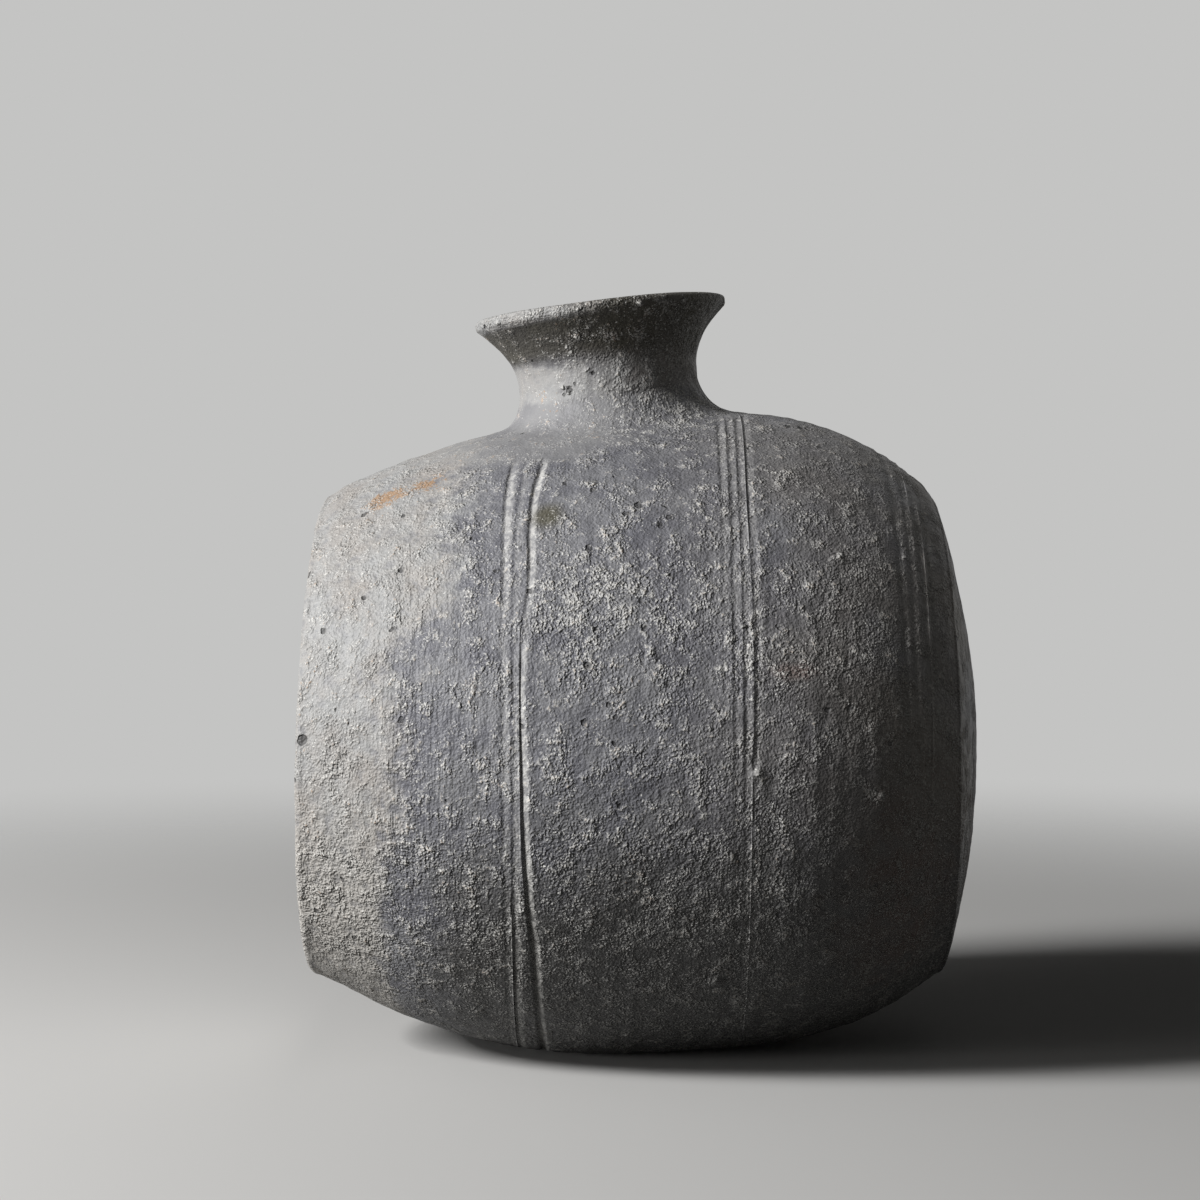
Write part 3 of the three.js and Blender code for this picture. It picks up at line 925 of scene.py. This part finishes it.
def stoneware():
    """Unglazed gritty clay, paled by ash, flashed brown, and wiped smooth in places, with painted light and
    shade.
    """
    material = bpy.data.materials.new("stoneware")
    material.use_nodes = True
    n = Nodes(material.node_tree)
    mm = n.vector("MULTIPLY", n.add("ShaderNodeTexCoord").outputs["Object"], (1 / MM, 1 / MM, 1 / MM))
    wobble = n.add("ShaderNodeTexNoise")
    n.link(mm, wobble.inputs["Vector"])
    wobble.inputs["Scale"].default_value = WOBBLE_SCALE
    wobble.inputs["Detail"].default_value = 0
    bent = n.vector("ADD", mm, n.vector("SUBTRACT", wobble.outputs["Color"], (0.5, 0.5, 0.5)))

    wipe = n.attribute("wiped")
    polish_and_lit = n.attribute("polished_and_lit")
    speckle = n.attribute("speckle")
    low = n.attribute("low")
    under_lip_shade = n.attribute("under_lip_shade")
    broad = n.noise(mm, *BROAD)
    blotch = n.noise(mm, *BLOTCHES)
    coarse = n.noise(mm, *COARSE)
    crust = n.noise(mm, *CRUST)
    fine = n.noise(mm, *FINE)
    specks = n.noise(bent, *SPECKS)
    combing = n.noise(n.vector("MULTIPLY", mm, COMBING_STRETCH), *COMBING)

    # Grains of sand that stand out of the clay, more of them where the surface is gritty
    patches = n.noise(mm, *GRIT_PATCHES)
    grit = n.total((n.attribute("grit"), 0.5), (speckle, 0.5), (patches, 2.2), (coarse, 0.6))
    grains = n.grains(bent, GRAIN_SIZE, grit)
    small_grains = n.grains(bent, SMALL_GRAIN_SIZE, n.total((grit, 0.8), (low, 0.1), (1.0, 0.1)))
    holes = n.grains(bent, HOLE_SIZE, HOLE_DENSITY)
    pits = n.spots(bent, spot_places(PITS, barrel_place) + spot_places(NECK_PITS, neck_place))
    lumps = n.spots(bent, spot_places(LUMPS, barrel_place) + spot_places(NECK_LUMPS, neck_place))
    chips = n.spots(bent, spot_places(CHIPS, barrel_place))
    pitted = n.math("MAXIMUM", holes, n.span(pits, 0.0, 0.3))

    # Relief, in millimetres
    gritty = n.math("MULTIPLY", n.span(grit, -0.1, 0.9, 0.4, 1.5), n.total((1.0, 1.0), (low, 0.75)))
    wiping = n.math("MAXIMUM", wipe, n.math("MULTIPLY", polish_and_lit, 0.9))
    ashen = n.span(n.attribute("ash_and_neck_light"), 0.4, 1.0, 1.0, 0.98)
    keen = n.math("MULTIPLY", gritty, n.math("MULTIPLY", n.span(wiping, 0.0, 1.0, 1.0, 0.3), ashen))
    combed = n.math("MULTIPLY", combing, n.span(n.attribute("combed"), 0.0, 0.6, 0.1, 0.7))
    flakes = n.span(crust, 0.0, 0.09)
    sand = n.total((fine, 0.5), (specks, 0.25), (grains, 0.2), (small_grains, 0.2))
    crusty = n.total((crust, 0.65), (flakes, 0.07), (coarse, 1.3))
    surface = n.math("MULTIPLY", n.total((sand, 1.0), (crusty, 1.0), (combed, 1.0)), keen)
    spots = n.total((pitted, -0.7), (n.span(pits, -0.7, 0.0), 0.15), (n.span(lumps, 0.0, 0.8), 0.8))
    height = n.math("ADD", surface, spots)

    # Clay, ash and wiping
    colour = n.mix(n.span(blotch, -0.14, 0.14), CLAY_DARK, CLAY)
    colour = n.mix(n.math("MULTIPLY", n.attribute("warm"), n.span(broad, -0.3, 0.15)), colour, CLAY_WARM)
    # Painted shade: the clay darker low on the barrel's front
    underside_shade = n.span(n.total((n.attribute("underside_shade"), 1.0), (blotch, 0.9)), 0.0, 1.0)
    colour = n.mix(underside_shade, colour, CLAY_SHADED_UNDERSIDE)
    # Painted shade under the neck's lip
    colour = n.mix(under_lip_shade, colour, NECK_SHADE_UNDER_LIP)
    ash_and_neck_light = n.mix(n.span(n.noise(mm, *ASH_CLOUDS), -0.2, 0.14), ASH_WARM, ASH)
    ash_and_neck_light = n.mix(low, ash_and_neck_light, ASH_THICK)
    ash_and_neck_light = n.mix(n.span(n.total((coarse, 1.0), (crust, 0.7)), -0.05, -0.3, 0.0, 0.5), ash_and_neck_light, CLAY)
    edge = n.total((n.attribute("ash_and_neck_light"), 1.0), (blotch, 0.9), (coarse, 0.5), (crust, 0.5))
    colour = n.mix(n.span(edge, 0.22, 0.78), colour, ash_and_neck_light)
    colour = n.mix(n.span(n.total((wipe, 1.0), (coarse, 0.9)), 0.1, 0.9, 0.0, 0.5), colour, WIPED)
    # Painted highlight on the lines' right walls, over their polish
    colour = n.tint(colour, PALE_GRIT_AND_HIGHLIGHT, polish_and_lit, n.span(crust, -0.15, 0.1, 0.2, 0.6))

    # Stains; on the neck the olive tint also colours the painted shade under the lip
    rust = n.total((n.attribute("rust"), 1.0), (coarse, 1.0), (crust, 1.0), (fine, 1.0), (blotch, 0.6))
    colour = n.mix(n.span(rust, 0.32, 0.7, 0.0, 0.85), colour, RUST)
    olive_stain_and_lip_shade = n.span(n.total((n.attribute("olive_stain_and_lip_shade"), 1.0), (blotch, 0.6)), 0.15, 0.8)
    colour = n.tint(colour, OLIVE, olive_stain_and_lip_shade, 0.85)
    red = n.span(n.total((n.attribute("red"), 1.0), (blotch, 1.0), (coarse, 0.8)), 0.2, 0.9)
    colour = n.tint(colour, RED_BROWN, red, 0.4)

    # Sand: painted shade in its hollows, pale grains, the dust of sand between them, and rough pale scurf
    # away from the ash
    hollow = n.math("MULTIPLY", n.span(n.total((crust, 1.0), (fine, 0.7)), -0.04, -0.22), keen)
    colour = n.tint(colour, SHADE_IN_HOLLOWS, hollow, 0.2)
    pale = n.math("MAXIMUM", n.math("MULTIPLY", grains, 0.6), small_grains)
    # Low on the front the grains and sand dust are painted paler still, as glints of light on the sand in
    # shade
    bright = n.span(n.math("MAXIMUM", speckle, n.math("MULTIPLY", low, 0.5)), 0.0, 0.6, 0.45, 0.9)
    colour = n.tint(colour, PALE_GRIT_AND_HIGHLIGHT, pale, bright)
    sandy = n.total((specks, 1.0), (coarse, 0.3), (grit, 0.12), (low, 0.045), (wipe, -0.06), (under_lip_shade, -0.06))
    colour = n.mix(n.span(sandy, 0.19, 0.3, 0.0, 0.8), colour, PALE_GRIT_AND_HIGHLIGHT)
    scurf = n.total((crust, 1.0), (coarse, 0.9), (fine, 0.4), (speckle, 0.2), (wipe, -0.15), (under_lip_shade, -0.12))
    ashless = n.span(n.attribute("ash_and_neck_light"), 0.2, 0.9, 1.0, 0.35)
    colour = n.tint(colour, PALE_GRIT_AND_HIGHLIGHT, n.span(scurf, 0.12, 0.34, 0.0, 0.5), ashless)

    # Pale chips and lumps, and painted shade in the pits and holes
    chipped = n.span(n.total((chips, 1.0), (crust, 3.0)), 0.0, 0.5)
    chipped = n.math("MAXIMUM", chipped, n.span(lumps, 0.0, 0.7))
    colour = n.tint(colour, PALE_GRIT_AND_HIGHLIGHT, chipped, 0.6)
    colour = n.tint(colour, SHADE_IN_HOLLOWS, pitted, 0.75)

    bump = n.add("ShaderNodeBump")
    bump.inputs["Strength"].default_value = 1.0
    bump.inputs["Distance"].default_value = MM
    n.link(height, bump.inputs["Height"])

    matt = n.total((blotch, 1.0), (coarse, 1.0), (wipe, 0.2))
    shader = n.add("ShaderNodeBsdfPrincipled")
    n.link(colour, shader.inputs["Base Color"])
    n.link(n.span(matt, -0.2, 0.25, *ROUGHNESS), shader.inputs["Roughness"])
    shader.inputs["Specular IOR Level"].default_value = SHEEN
    n.link(bump.outputs["Normal"], shader.inputs["Normal"])
    out = n.add("ShaderNodeOutputMaterial")
    n.link(shader.outputs["BSDF"], out.inputs["Surface"])
    return material


# Studio, in metres

FLOOR_SIZE = 6
FLOOR_FADE = (0.25, 0.9)  # the distances between which the floor gives way to the surroundings
# The floor and the surroundings, as they are seen and as they light the jar
FLOOR_SEEN = tone(208, 207, 205)
FLOOR_AS_LIGHT = tone(66, 66, 65)
SURROUNDINGS = tone(196, 196, 195)
STRENGTH_SEEN = 1.0
STRENGTH_AS_LIGHT = 0.055
# Lamps, as (name, place, size, power in watts)
LAMPS = [("key", (-1.26, -0.62, 0.86), 0.4, 32), ("low_key", (-1.4, -0.6, 0.12), 0.4, 8)]

CAMERA_PLACE = (-12.9 * MM, -830 * MM, 160.2 * MM)
CAMERA_DOWN = 1.68  # degrees below level
CAMERA_LENS = 81.6  # lens and sensor in millimetres
CAMERA_SENSOR = 36


def seen(n):
    """1 for what the camera sees, straight or in gloss or glass, and 0 for light that falls on the jar."""
    path = n.add("ShaderNodeLightPath")
    mirrored = n.math("MAXIMUM", path.outputs["Is Glossy Ray"], path.outputs["Is Transmission Ray"])
    return n.math("MAXIMUM", path.outputs["Is Camera Ray"], mirrored)


def floor_material():
    """A pale floor that gives way to the pale surroundings away from the jar."""
    material = bpy.data.materials.new("pale_floor")
    material.use_nodes = True
    n = Nodes(material.node_tree)
    place = n.add("ShaderNodeTexCoord").outputs["Object"]
    distance = n.add("ShaderNodeVectorMath", operation="LENGTH")
    n.link(place, distance.inputs[0])
    shader = n.add("ShaderNodeBsdfDiffuse")
    n.link(n.mix(seen(n), FLOOR_AS_LIGHT, FLOOR_SEEN), shader.inputs["Color"])
    clear = n.add("ShaderNodeBsdfTransparent")
    blend = n.add("ShaderNodeMixShader")
    n.link(n.span(distance.outputs["Value"], *FLOOR_FADE), blend.inputs["Fac"])
    n.link(shader.outputs[0], blend.inputs[1])
    n.link(clear.outputs[0], blend.inputs[2])
    out = n.add("ShaderNodeOutputMaterial")
    n.link(blend.outputs[0], out.inputs["Surface"])
    return material


def studio():
    """The floor, the light and the pale surroundings."""
    bpy.ops.mesh.primitive_plane_add(size=FLOOR_SIZE)
    floor = bpy.context.object
    floor.name = "floor"
    floor.data.materials.append(floor_material())

    world = bpy.data.worlds.new("studio")
    world.use_nodes = True
    bpy.context.scene.world = world
    n = Nodes(world.node_tree)
    background = n.add("ShaderNodeBackground")
    background.inputs["Color"].default_value = SURROUNDINGS
    strength = n.span(seen(n), 0.0, 1.0, STRENGTH_AS_LIGHT, STRENGTH_SEEN)
    n.link(strength, background.inputs["Strength"])
    out = n.add("ShaderNodeOutputWorld")
    n.link(background.outputs[0], out.inputs["Surface"])

    for name, place, size, power in LAMPS:
        lamp(name, place, size, power)


def lamp(name, place, size, power):
    """A square soft light that faces the jar."""
    data = bpy.data.lights.new(name, "AREA")
    data.size = size
    data.energy = power
    light = bpy.data.objects.new(name, data)
    light.location = place
    target = Vector((0, 0, AXIS_Z * MM))
    light.rotation_euler = (target - light.location).to_track_quat("-Z", "Y").to_euler()
    bpy.context.scene.collection.objects.link(light)


def camera():
    data = bpy.data.cameras.new("camera")
    data.lens = CAMERA_LENS
    data.sensor_width = CAMERA_SENSOR
    view = bpy.data.objects.new("camera", data)
    view.location = CAMERA_PLACE
    view.rotation_euler = (math.radians(90 - CAMERA_DOWN), 0, 0)
    bpy.context.scene.collection.objects.link(view)
    bpy.context.scene.camera = view


camera()
bpy.context.scene.view_settings.view_transform = "Standard"

clay = stoneware()
pieces = [
    (base_disc, "base_disc", "ash_stoneware"),
    (barrel_wall, "barrel_wall", "grey_stoneware"),
    (closing_cap, "closing_cap", "brown_stoneware"),
    (base_coil, "base_luting_coil", "grey_stoneware"),
    (neck, "neck", "grey_stoneware"),
    (luting_collar, "neck_luting_collar", "grey_stoneware"),
]
for make, node, slot_name in pieces:
    piece = make()
    paint(piece)
    piece.data.materials.append(clay)
    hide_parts(node)
    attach(piece, "root")

studio()

bpy.context.view_layer.update()
